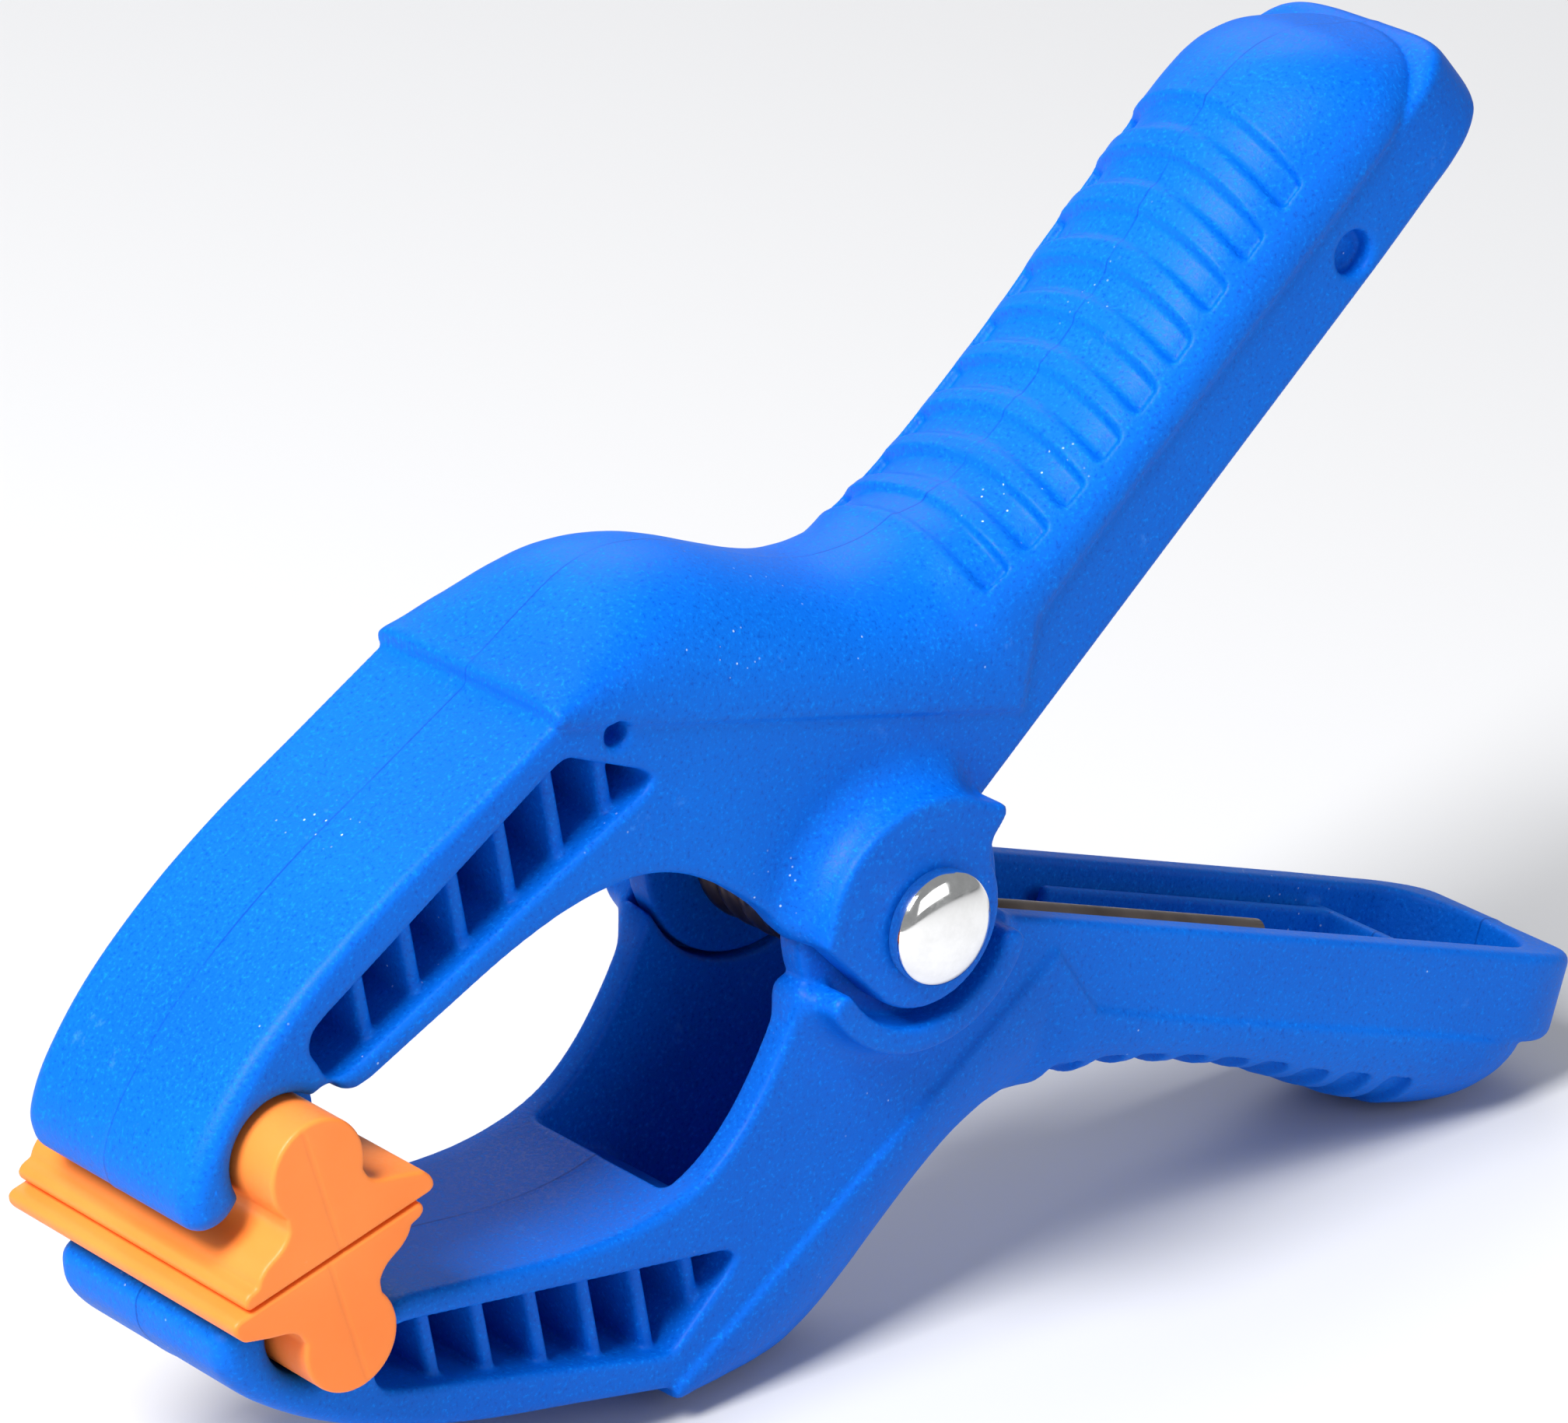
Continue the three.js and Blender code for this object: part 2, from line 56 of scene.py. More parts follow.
JOINTS = {joint["name"]: Vector(joint["pos_m"]) * 1000 for joint in frame["joints"]}
PIVOT = JOINTS["jaw_hinge"]
BEAD_MIDDLE = (JOINTS["upper_pad_swivel"] + JOINTS["lower_pad_swivel"]) / 2
STANCE = math.atan2(PIVOT.z - BEAD_MIDDLE.z, PIVOT.x - BEAD_MIDDLE.x)

# Half widths along Y
HALF_BODY, HALF_GRIP, HALF_HOLLOW, HALF_WEB, HALF_PAD = 12.75, 13.25, 9.5, 1.5, 17.2

# Arm
HANDLE_ANGLE = math.radians(29.5)
SKIN = 2.8
EAR_RADIUS, EAR_CLEARANCE = 11.8, 12.3
BOSS_RADIUS, BOSS_LOW_RADIUS = 12, 8.4
PIN_HOLE_RADIUS = 3.08

# Jaw tip and pad
BEAD_X, BEAD_Z = -68.6, 8.7
BEAD_RADIUS, SOCKET_RADIUS = 4.95, 5.35
PAD_TILT = math.radians(5)
BEAD_FOOT = -3.6

# Pin and its heads
PIN_RADIUS, HEAD_RADIUS = 3.0, 5.5
HEAD_FACE, HEAD_EDGE, HEAD_TOP = 17.4, 18.6, 20.6

# Spring
WIRE_RADIUS, COIL_RADIUS, COIL_TURNS = 1.3, 6.2, 5
LEG_Y, LEG_DEPTH, LEG_BEND, LEG_END = 7.85, 1.05, 14.0, 52.0

# Sampling of the moulded shapes
ARM_VOXEL = 0.3
PAD_VOXEL = 0.17
ARM_TRIANGLES = 190000
PLAN_STEP = 0.25


def on_handle(s, h):
    """A point on the handle: s along its inner edge from the pivot, h outwards from it."""
    c, d = math.cos(HANDLE_ANGLE), math.sin(HANDLE_ANGLE)
    return (s * c - h * d, s * d + h * c)


def spline(points, steps=12):
    """Points of a smooth open run through the given points."""
    p = np.array(points, float)
    p = np.vstack([2 * p[0] - p[1], p, 2 * p[-1] - p[-2]])
    k = (np.arange(steps) / steps)[:, None]
    out = []
    for a, b, c, d in zip(p[:-3], p[1:-2], p[2:-1], p[3:]):
        out.append(0.5 * (2 * b + (c - a) * k + (2 * a - 5 * b + 4 * c - d) * k ** 2
                          + (3 * b - a - 3 * c + d) * k ** 3))
    return np.vstack(out + [p[-2:-1]])


def arc(cx, cz, radius, start, end, count=24):
    """Points of an arc, with its angles in degrees."""
    a = np.radians(np.linspace(start, end, count))
    return np.column_stack([cx + radius * np.cos(a), cz + radius * np.sin(a)])


def smooth_step(low, high, value):
    k = np.clip((value - low) / (high - low), 0, 1)
    return k * k * (3 - 2 * k)


def outline_distance(points, x, z):
    """Signed distance in XZ to a closed outline, negative inside."""
    best = np.full(x.shape, 1e9, np.float32)
    inside = np.zeros(x.shape, bool)
    points = np.asarray(points, float)
    for a, b in zip(points, np.roll(points, -1, 0)):
        ex, ez = b - a
        wx, wz = x - a[0], z - a[1]
        k = np.clip((wx * ex + wz * ez) / (ex * ex + ez * ez + 1e-12), 0, 1)
        best = np.minimum(best, (wx - k * ex) ** 2 + (wz - k * ez) ** 2)
        if a[1] != b[1]:
            inside ^= ((a[1] > z) != (b[1] > z)) & (x < ex * (z - a[1]) / ez + a[0])
    return (np.where(inside, -1, 1) * np.sqrt(best)).astype(np.float32)


def both(a, b, radius):
    """Intersection of two signed distances with a rounded edge."""
    return (np.minimum(np.maximum(a, b), -radius)
            + np.hypot(np.maximum(a + radius, 0), np.maximum(b + radius, 0)))


def either(a, b, radius):
    """Union of two signed distances with a hollow fillet."""
    return (np.maximum(np.minimum(a, b), radius)
            - np.hypot(np.maximum(radius - a, 0), np.maximum(radius - b, 0)))


def surface(field, origin, step):
    """Vertices and quads of the zero level of a sampled field."""
    inside = field < 0
    sizes = [n - 1 for n in field.shape]
    cells = np.zeros(sizes, np.int8)
    for corner in itertools.product((0, 1), repeat=3):
        cells += inside[tuple(slice(c, c + n) for c, n in zip(corner, sizes))]
    mixed = (cells > 0) & (cells < 8)
    index = np.full(sizes, -1, np.int32)
    at = np.argwhere(mixed)
    index[mixed] = np.arange(len(at))
    total = np.zeros((len(at), 3))
    count = np.zeros(len(at))
    for axis in range(3):
        others = [k for k in range(3) if k != axis]
        for u, v in itertools.product((0, 1), repeat=2):
            corner = np.zeros(3, int)
            corner[others[0]], corner[others[1]] = u, v
            low = at + corner
            high = low.copy()
            high[:, axis] += 1
            a = field[tuple(low.T)]
            b = field[tuple(high.T)]
            cut = (a < 0) != (b < 0)
            k = a[cut] / (a[cut] - b[cut])
            place = np.tile(corner.astype(float), (cut.sum(), 1))
            place[:, axis] += k
            total[cut] += place
            count[cut] += 1
    vertices = (at + total / count[:, None]) * step + np.array(origin)
    quads = []
    for axis in range(3):
        u, v = [k for k in range(3) if k != axis]
        if axis == 1:
            u, v = v, u
        a = inside[tuple(slice(0, -1) if k == axis else slice(1, -1) for k in range(3))]
        b = inside[tuple(slice(1, None) if k == axis else slice(1, -1) for k in range(3))]
        for flip, crossing in ((False, a & ~b), (True, b & ~a)):
            p = np.argwhere(crossing) + 1
            p[:, axis] -= 1
            ring = []
            for du, dv in ((0, 0), (1, 0), (1, 1), (0, 1)):
                q = p.copy()
                q[:, u] -= du
                q[:, v] -= dv
                ring.append(index[tuple(q.T)])
            quads.append(np.column_stack(ring[::-1] if flip else ring))
    return vertices, np.vstack(quads)


def blur(field):
    """Evens out one sample's breadth in each direction."""
    for axis in range(3):
        ahead = np.roll(field, 1, axis)
        behind = np.roll(field, -1, axis)
        field = 0.5 * field + 0.25 * (ahead + behind)
    return field


def mesh_object(name, vertices, faces, smooth=True):
    mesh = bpy.data.meshes.new(name)
    vertices = np.asarray(vertices, np.float32)
    faces = np.asarray(faces, np.int32)
    corners = faces.shape[1]
    mesh.vertices.add(len(vertices))
    mesh.vertices.foreach_set("co", vertices.ravel())
    mesh.loops.add(faces.size)
    mesh.loops.foreach_set("vertex_index", faces.ravel())
    mesh.polygons.add(len(faces))
    mesh.polygons.foreach_set("loop_start", np.arange(len(faces), dtype=np.int32) * corners)
    mesh.polygons.foreach_set("use_smooth", np.full(len(faces), smooth))
    mesh.update(calc_edges=True)
    mesh.validate()
    piece = bpy.data.objects.new(name, mesh)
    bpy.context.scene.collection.objects.link(piece)
    return piece


def apply_modifiers(piece):
    """Keeps the result of a piece's modifiers as its mesh."""
    depsgraph = bpy.context.evaluated_depsgraph_get()
    result = bpy.data.meshes.new_from_object(piece.evaluated_get(depsgraph))
    piece.modifiers.clear()
    old = piece.data
    piece.data = result
    bpy.data.meshes.remove(old)


def to_row(points):
    """From the clamp's frame in millimetres to the row frame in metres."""
    p = np.asarray(points, float)
    c, d = math.cos(STANCE), math.sin(STANCE)
    x = p[:, 0] * c - p[:, 2] * d + PIVOT.x
    z = p[:, 0] * d + p[:, 2] * c + PIVOT.z
    return np.column_stack([x, p[:, 1] + PIVOT.y, z]) / 1000


# ---- Arm ----

# Crest of the arm in side view, from the lip over the hump and along the grip to its end
HUMP_CREST = [(-33.6, 36.3), (-31, 37.3), (-26.8, 39.1), (-21.8, 40.9), (-17.4, 41.2),
              (-12.9, 40), (-9, 38), (-4.6, 35.2), (0, 32.4), (4.2, 30.4), (8, 29.5),
              (11.2, 29.2), (13.6, 29.4), (16, 30)]
GRIP_CREST = [(32, 16.4), (37, 15.4), (43, 15), (50, 15), (56, 15.4), (62, 16.4), (68, 17.4),
              (74, 18.4), (79, 18.7), (84, 18), (88, 16.6), (90, 15.6), (92, 13.9),
              (94, 11.8), (95.4, 10.2), (96.8, 8.6)]
# Lower boundary of the grip on the side face
GRIP_FOOT = [(28.2, 8.3), (40, 8.6), (70, 8.6), (80, 8.7), (86, 8.9), (90, 9), (93, 8.9),
             (97, 8.6)]
# Plan of the handle's end, from its side to its middle: of the body, and of the grip on it
BODY_END = [(84, 12.75), (88, 12.7), (91.4, 12.1), (94, 10.7), (95.7, 8.3), (96.6, 5.4),
            (96.8, 2.7), (96.8, 0)]
GRIP_END = [(83, 13.25), (86, 12.8), (89, 11.5), (91.6, 9.3), (93.4, 6.3), (94.3, 3),
            (94.5, 0)]


def body_outline():
    """Side view of the arm without its grip."""
    mouth = spline([(-58.6, 11.2), (-50, 13.7), (-42, 15.9), (-35, 17), (-29, 16.8),
                    (-24.4, 15.4), (-20, 12.4), (-15.6, 7.8), (-11.6, 2.2)], 8)
    tip = spline([on_handle(s, h) for s, h in ((94.2, 0), (95.8, 0.6), (96.7, 2),
                                               (96.7, 4), (96.5, 5.8), (95.9, 7.3),
                                               (94.8, 8.4), (93, 8.9), (90, 9.1),
                                               (86, 9.1))], 4)
    top = [on_handle(s, h) for s, h in ((80, 9.6), (33, 10.2), (30, 9.8))]
    jaw = spline([(-33.2, 35), (-44, 31), (-54, 27.3), (-63, 23.1), (-70.5, 18.5),
                  (-76.3, 13.4), (-79, 9.4), (-79.2, 6.8), (-78.6, 5.5), (-77.2, 4.9),
                  (-75.4, 5.2), (-73.7, 6.5)], 6)
    rim = spline([(-64.6, 12.35), (-63.6, 12.75), (-62.4, 12.5), (-61.6, 11.6), (-60.4, 11.05),
                  (-58.6, 11.2)], 5)
    return np.vstack([
        mouth[:-1], arc(0, 0, EAR_RADIUS, 169, 389.5, 60), tip, top, [(16, 15.3), (-31, 34.4)],
        jaw[:-1], arc(BEAD_X, BEAD_Z, SOCKET_RADIUS, 203, 43, 30), rim[:-1],
    ])


def channel_outline():
    """Space between the cheeks, open to the mouth and along the handle's inner edge."""
    handle = [on_handle(s, h) for s, h in ((14, -4), (99, -4), (99, 4), (92, 8), (88, 24))]
    return [(-28.6, 17.5), (-28.6, 8), (-12, -14), (12, -14), *handle, (40, 60), (-20.6, 50),
            (-20.6, 25.5), (-22, 23.6), (-26.5, 21)]


def pocket_outline():
    """Long pocket in the jaw's side."""
    return np.vstack([
        spline([(-63.6, 15.2), (-63.1, 13.9), (-61.8, 13.1), (-59.6, 13.4)], 4),
        spline([(-27.5, 23.5), (-25.2, 24.3), (-24.4, 25.3), (-25.3, 26.5)], 4),
        spline([(-31.4, 30.4), (-33, 31.2), (-35.2, 30.6)], 4),
        spline([(-61.9, 19.5), (-63.6, 18.5), (-64.2, 16.9), (-63.6, 15.2)], 4)[:-1],
    ])


def boss_outline():
    """Disc with a smaller radius on the other arm's side and a nib towards the handle."""
    start, end = math.radians(222), math.radians(376)
    return np.vstack([
        arc(0, 0, BOSS_RADIUS, 50, 167, 50),
        [(BOSS_LOW_RADIUS * math.cos(start), BOSS_LOW_RADIUS * math.sin(start))],
        arc(0, 0, BOSS_LOW_RADIUS, 224, 374, 60),
        spline([(BOSS_LOW_RADIUS * math.cos(end), BOSS_LOW_RADIUS * math.sin(end)),
                (8.6, 4.4), (9.9, 5.6), (10.7, 6.5), (10.5, 7.3), (9.3, 8),
                (7.72, 9.19)], 5)[:-1],
    ])


def plane(field):
    """A field of the side view, the same all across the width."""
    return field[:, None, :]


class Grid:
    """Sample points of a box: x and z in the side view, y across it."""

    def __init__(self, low, high, voxel, centred=False):
        self.voxel = voxel
        self.low = np.array(low, float)
        count = np.ceil((np.array(high, float) - self.low) / voxel).astype(int) + 1
        if centred:
            # An even number of samples across keeps the parting plane between two of them
            count[1] += count[1] % 2
            self.low[1] = -voxel * (count[1] - 1) / 2
        axes = [(self.low[k] + voxel * np.arange(count[k])).astype(np.float32)
                for k in range(3)]
        self.x, self.z = np.meshgrid(axes[0], axes[2], indexing="ij")
        self.across = axes[1]
        self.y = axes[1][None, :, None]
        self.wide = np.abs(self.y)
        c, d = math.cos(HANDLE_ANGLE), math.sin(HANDLE_ANGLE)
        self.s = self.x * c + self.z * d
        self.h = self.z * c - self.x * d
        self.radius = np.hypot(self.x, self.z)
        self.angle = np.degrees(np.arctan2(self.z, self.x))


def by_plan(end, grid):
    """Signed distance to the handle's plan, which is straight up to the given end."""
    half = spline(end, 6)
    plan = np.vstack([[(-200, half[0, 1])], half, (half * (1, -1))[::-1], [(-200, -half[0, 1])]])
    along = np.arange(70, 110, PLAN_STEP)
    table = outline_distance(plan, *np.meshgrid(along, grid.across, indexing="ij"))
    place = np.clip((grid.s - along[0]) / PLAN_STEP, 0, len(along) - 1.001)
    row = place.astype(int)
    part = (place - row)[..., None]
    return np.moveaxis(table[row] * (1 - part) + table[row + 1] * part, 2, 1).astype(np.float32)


def grip_skin(grid):
    """Signed distance to the grip's outer surface, and the side view's height over its foot."""
    crest = spline(HUMP_CREST + [on_handle(*p) for p in GRIP_CREST], 5)
    foot = np.vstack([[(-83.4, 56.4)], [(-33.4, 34.7), (17, 12.8)],
                      spline([on_handle(*p) for p in GRIP_FOOT], 5)])
    under_crest = -outline_distance(
        np.vstack([[(-90, 20)], [(-60, 26)], crest, [on_handle(96, -90)], [(-90, -60)]]),
        grid.x, grid.z)
    over_foot = -outline_distance(
        np.vstack([foot, [on_handle(130, 22)], [on_handle(130, 90)], [(-83.4, 120)]]),
        grid.x, grid.z)
    # How far up the grip's curve a point lies: 0 at the foot, 1 at the crest
    rise = np.maximum(over_foot, 0) / np.maximum(over_foot + under_crest, 0.5)
    rise = np.minimum(rise, 1.8)
    square = np.interp(grid.x, [-33.5, -31, -26.8, -21.8, -17.4, -12.9, 8, 14, 20, 46, 51, 60],
                       [6, 4.5, 3.4, 2.7, 2.4, 2.3, 2.3, 2.5, 2.8, 2.8, 2.5, 2.2])
    aside = np.maximum(1 + by_plan(GRIP_END, grid) / HALF_GRIP, 0)
    shape = aside ** plane(square) + plane(rise ** square) - 1
    shape = np.minimum(shape, 60).astype(np.float32)
    slope = np.sqrt(sum(g * g for g in np.gradient(shape, grid.voxel)))
    return np.clip(shape / np.maximum(slope, 0.02), -8, 8), over_foot


def grip_windows(grid):
    """Depth of the sunken windows across the grip. They bend towards the jaw at the sides."""
    first, pitch, growth, last = 28.2, 5.35, 0.045, 8
    bend = 2.5 * (np.minimum(grid.wide, 13) / 12.5) ** 1.7
    along = np.clip(plane(grid.s) + bend - first, 0, None)
    number = (np.sqrt(pitch * pitch + 4 * growth * along) - pitch) / (2 * growth)
    whole = np.clip(np.floor(number), 0, last)
    local = along - whole * (pitch + growth * whole)
    depth = smooth_step(0, 0.3, local) * (1 - smooth_step(3.05, 3.55, local))
    depth = depth * (0.45 + 0.75 * np.minimum(grid.wide / 10.5, 1) ** 1.5)
    depth = depth * (1 - smooth_step(11.2, 11.75, grid.wide))
    ridge = 0.12 * np.exp(-((local - 3.75) / 0.4) ** 2) * (grid.wide < 11.4)
    started = plane(grid.s) + bend > first - 0.3
    return np.where(started, depth - ridge, 0).astype(np.float32)


def body_with_grip(grid, body_side, skin, over_foot):
    """The arm's outer shape without its hollows, boss and guard."""
    side = outline_distance(body_outline(), grid.x, grid.z)
    edge = np.interp(grid.x, [-79, -72, -60, -30, 0, 66, 74],
                     [2.2, 1.7, 1.1, 0.7, 0.5, 0.5, 1.0])
    body = both(plane(side), body_side, plane(edge))
    lip = -33.55 - grid.x + 0.12 * (grid.z - 35)
    grip = both(skin + grip_windows(grid), plane(np.maximum(-over_foot, lip)), 0.15)
    # A slight ridge and step where the halves of the mould met
    parting = 0.1 * np.exp(-(grid.y / 0.28) ** 2) * (grid.wide < 2)
    step = 0.03 * np.sign(grid.y) * (grid.wide < HALF_BODY - 1.5)
    return np.minimum(body, grip) - parting * 0.8 + step


def hollowed(field, grid, body_side, skin):
    """Takes out the space between the cheeks, and leaves the ribs and the spring's seat."""
    channel = outline_distance(channel_outline(), grid.x, grid.z)
    hollow = both(both(plane(channel), body_side + HALF_BODY - HALF_HOLLOW, 0.8),
                  skin + SKIN, 1.0)
    ribs = np.maximum(np.maximum(np.abs(grid.y + 7.4) - 0.7, plane(np.abs(grid.s - 58) - 20)),
                      plane(2.2 - grid.h))
    for place, lowest in ((38, 5), (57.5, 5), (77.7, 2.2)):
        ribs = np.minimum(ribs, plane(np.maximum(np.abs(grid.s - place) - 0.75,
                                                 lowest - grid.h)))
    seat = np.maximum(np.maximum(6.4 - grid.y, plane(np.abs(grid.s - 50) - 4)),
                      plane(3.5 - grid.h))
    ribs = np.minimum(ribs, seat)
    ribs = np.maximum(ribs, np.maximum(field + 1.2, grid.wide - HALF_HOLLOW - 0.6))
    ribs = np.maximum(ribs, plane(20 - grid.s))
    return either(both(field, -hollow, 0.35), ribs, 0.6)


def with_boss_and_guard(field, grid):
    """Adds the boss on the outer cheek and the curved guard on the inner one."""
    ear = plane(grid.radius - EAR_CLEARANCE)
    field = np.maximum(field, -np.maximum(ear, grid.y + 9.0))
    boss = both(plane(outline_distance(boss_outline(), grid.x, grid.z)),
                np.abs(grid.y + 14.3) - 2.8, 0.55)
    fillet = (0.3 + 3.9 * smooth_step(28, 60, grid.angle)
              * smooth_step(-178, -160, -grid.angle))
    field = either(field, boss, plane(fillet))
    clearance = np.maximum(ear, np.abs(grid.y + 11.02) - 2.03)
    field = both(field, -clearance, 0.2)

    middle, first, last = 11.5, 37, 159
    turn = np.where(grid.angle < -80, last, np.clip(grid.angle, first, last))
    turn = np.radians(turn)
    band = np.hypot(grid.x - middle * np.cos(turn), grid.z - middle * np.sin(turn)) - 1.3
    guard = both(plane(band), np.abs(grid.y - 13.1) - 4.0, 0.5)
    spread = 0.5 + 2.3 * smooth_step(11.2, 13.2, grid.radius)
    return either(field, guard, plane(spread))


def with_pockets(field, grid):
    """Takes out the jaw's side pockets, and leaves their upright ribs."""
    pocket = outline_distance(pocket_outline(), grid.x, grid.z)
    bars = np.full(grid.x.shape, 9.0, np.float32)
    for k in range(6):
        bars = np.minimum(bars, np.abs(grid.x + 57 - 5.75 * k) - 0.75)
    bars = both(plane(bars), grid.wide - (HALF_BODY - 2), 0.6)
    space = both(plane(pocket), HALF_WEB - grid.wide, 0.5)
    space = both(space, -bars, 0.4)
    return both(field, -space, 0.45)


def with_hook_and_holes(field, grid):
    """Adds the socket's rear hook, and takes out the pin hole and the two blind holes."""
    hook = np.hypot(grid.x - BEAD_X, grid.z - BEAD_Z) - SOCKET_RADIUS
    hook = np.abs(hook - 0.9) - 0.9
    reach = np.degrees(np.arctan2(grid.z - BEAD_Z, grid.x - BEAD_X))
    hook = np.maximum(hook, np.abs(reach - 26) / 10 - 3.4)
    field = either(field, both(plane(hook), grid.wide - 7, 0.4), 0.4)
    field = both(field, plane(PIN_HOLE_RADIUS - grid.radius), 0.3)
    holes = ((on_handle(74.5, 3.6), 2.2, 10.7), ((-27.3, 31.1), 1.25, 9.8))
    for (px, pz), size, floor in holes:
        hole = np.maximum(plane(np.hypot(grid.x - px, grid.z - pz) - size), grid.y + floor)
        field = both(field, -hole, 0.5)
    return field


def arm_field(grid):
    """Signed distance of the whole arm."""
    body_side = by_plan(BODY_END, grid)
    skin, over_foot = grip_skin(grid)
    field = body_with_grip(grid, body_side, skin, over_foot)
    field = hollowed(field, grid, body_side, skin)
    field = with_boss_and_guard(field, grid)
    field = with_pockets(field, grid)
    field = with_hook_and_holes(field, grid)
    return blur(field)


def make_arms():
    """The upper arm, and the same moulding turned half a turn about X as the lower arm."""
    grid = Grid((-80.6, -18, -13.4), (84.6, 18, 60.2), ARM_VOXEL, centred=True)
    vertices, quads = surface(arm_field(grid), grid.low, grid.voxel)
    upper = mesh_object("upper_arm_shell", vertices, quads)
    ratio = ARM_TRIANGLES / (2 * len(quads))
    if ratio < 1:
        thin = upper.modifiers.new("thin", "DECIMATE")
        thin.ratio = ratio
        apply_modifiers(upper)
    lower = bpy.data.objects.new("lower_arm_shell", upper.data.copy())
    bpy.context.scene.collection.objects.link(lower)
    for piece, flip in ((upper, 1), (lower, -1)):
        co = np.zeros(len(piece.data.vertices) * 3, np.float32)
        piece.data.vertices.foreach_get("co", co)
        points = co.reshape(-1, 3) * np.array([1, flip, flip])
        piece.data.vertices.foreach_set("co", to_row(points).astype(np.float32).ravel())
        piece.data.polygons.foreach_set("use_smooth", np.full(len(piece.data.polygons), True))
        piece.data.update()
    return upper, lower


# ---- Pads ----

def pad_outline():
    """Section of a pad about its bead's centre: bead, waist and two thin wings."""
    reach = BEAD_Z * math.cos(PAD_TILT) - 0.15
    left = [(-4.3, -2.7), (-4.5, -3.8), (-5.6, -4.8), (-7.4, -5.5), (-8.4, -6.2), (-8.9, -6.9)]
    right = [(10.0, -6.2), (7.6, -5.1), (5.6, -4.3), (4.7, -3.5), (4.4, -2.4)]
    return np.vstack([
        arc(0, 0, BEAD_RADIUS, -30, 210, 60),
        spline(left, 5),
        spline([(-9.9, -7.05), (-10.45, -7.5), (-10.5, -8.1), (-10.2, -reach)], 4),
        spline([(10.0, -reach), (10.6, -8.2), (10.65, -7.3), (10.0, -6.2)], 4)[:-1],
        spline(right, 5),
    ])


def pad_field(grid):
    """Signed distance of a pad."""
    section = outline_distance(pad_outline(), grid.x, grid.z)
    field = both(plane(section), grid.wide - HALF_PAD, 0.3)
    # The bead stops at the far cheek
    beyond = np.maximum(plane(BEAD_FOOT - grid.z), HALF_BODY + 0.2 - grid.y)
    field = both(field, -beyond, 0.3)
    # Fine mould line down the end faces
    line = plane(np.abs(grid.x + 0.25 + 0.03 * grid.z))
    groove = np.maximum(line - 0.16, HALF_PAD - 0.1 - grid.wide)
    return blur(np.maximum(field, -groove))


def make_pads():
    """Both pads. The lower one is the same moulding turned half a turn about Y."""
    grid = Grid((-11.6, -18.2, -9.6), (11.6, 18.2, 6.2), PAD_VOXEL)
    vertices, quads = surface(pad_field(grid), grid.low, grid.voxel)
    c, d = math.cos(PAD_TILT), math.sin(PAD_TILT)
    pads = []
    for name, side in (("upper_pad_moulding", 1), ("lower_pad_moulding", -1)):
        x = vertices[:, 0] * side
        z = vertices[:, 2] * side
        points = np.column_stack([x * c - z * d + BEAD_X, vertices[:, 1],
                                  x * d + z * c + side * BEAD_Z])
        pads.append(mesh_object(name, to_row(points), quads))
    return pads


# ---- Pin, cap and spring ----

def turned(name, profile, sides=96):
    """Solid of revolution about the pin axis, from (radius, y) points."""
    profile = np.asarray(profile, float)
    angles = np.linspace(0, 2 * math.pi, sides, endpoint=False)
    rings = [np.column_stack([r * np.cos(angles), np.full(sides, y), r * np.sin(angles)])
             for r, y in profile]
    vertices = np.vstack(rings)
    faces = []
    for i in range(len(profile) - 1):
        for k in range(sides):
            n = (k + 1) % sides
            faces.append((i * sides + k, (i + 1) * sides + k, (i + 1) * sides + n, i * sides + n))
    piece = mesh_object(name, to_row(vertices), faces)
    clean(piece)
    return piece


def clean(piece):
    """Merges doubled points and turns faces outwards."""
    mesh = bmesh.new()
    mesh.from_mesh(piece.data)
    bmesh.ops.remove_doubles(mesh, verts=mesh.verts, dist=1e-7)
    bmesh.ops.dissolve_degenerate(mesh, edges=mesh.edges, dist=1e-7)
    bmesh.ops.recalc_face_normals(mesh, faces=mesh.faces)
    for face in mesh.faces:
        face.smooth = True
    mesh.to_mesh(piece.data)
    mesh.free()


def dome(side):
    """Profile of a low domed head."""
    points = [(0, side * HEAD_TOP)]
    for k in range(1, 25):
        angle = math.pi / 2 * k / 24
        height = HEAD_EDGE + (HEAD_TOP - HEAD_EDGE) * math.cos(angle) ** 0.9
        points.append((HEAD_RADIUS * math.sin(angle), side * height))
    return points + [(HEAD_RADIUS, side * (HEAD_FACE + 0.35)),
                     (HEAD_RADIUS - 0.12, side * (HEAD_FACE + 0.1)),
                     (HEAD_RADIUS - 0.4, side * HEAD_FACE)]


def make_pin():
    profile = dome(-1) + [(PIN_RADIUS, -HEAD_FACE), (PIN_RADIUS, 18.4), (2.7, 18.9),
                          (2.3, 19.1), (0, 19.1)]
    return turned("pivot_pin_turned", profile)


def make_cap():
    profile = dome(1) + [(3.12, HEAD_FACE), (3.12, 19.3), (2.8, 19.45), (0, 19.45)]
    return turned("pin_cap_pressed", profile)


def spring_line():
    """Centre line of the wire: lower leg, coil and upper leg."""
    lean = (math.atan2(LEG_DEPTH, LEG_BEND)
            + math.acos(COIL_RADIUS / math.hypot(LEG_BEND, LEG_DEPTH)))
    leave = HANDLE_ANGLE + lean
    legs = [(LEG_END, 0), (40, 0), (28, 0), (19, 0), (16, 0.12), (13.2, 0.7), (8, 2.3)]
    points = []
    for s, rise in legs:
        px, pz = on_handle(s, LEG_DEPTH + rise)
        points.append((px, -LEG_Y, -pz))
    sweep = 2 * math.pi * (COIL_TURNS + 1) - 2 * leave
    steps = COIL_TURNS * 16 + 7
    for i in range(steps + 1):
        angle = -leave - sweep * i / steps
        points.append((COIL_RADIUS * math.cos(angle), -LEG_Y + 2 * LEG_Y * i / steps,
                       COIL_RADIUS * math.sin(angle)))
    for s, rise in reversed(legs):
        px, pz = on_handle(s, LEG_DEPTH + rise)
        points.append((px, LEG_Y, pz))
    return spline(points, 4)


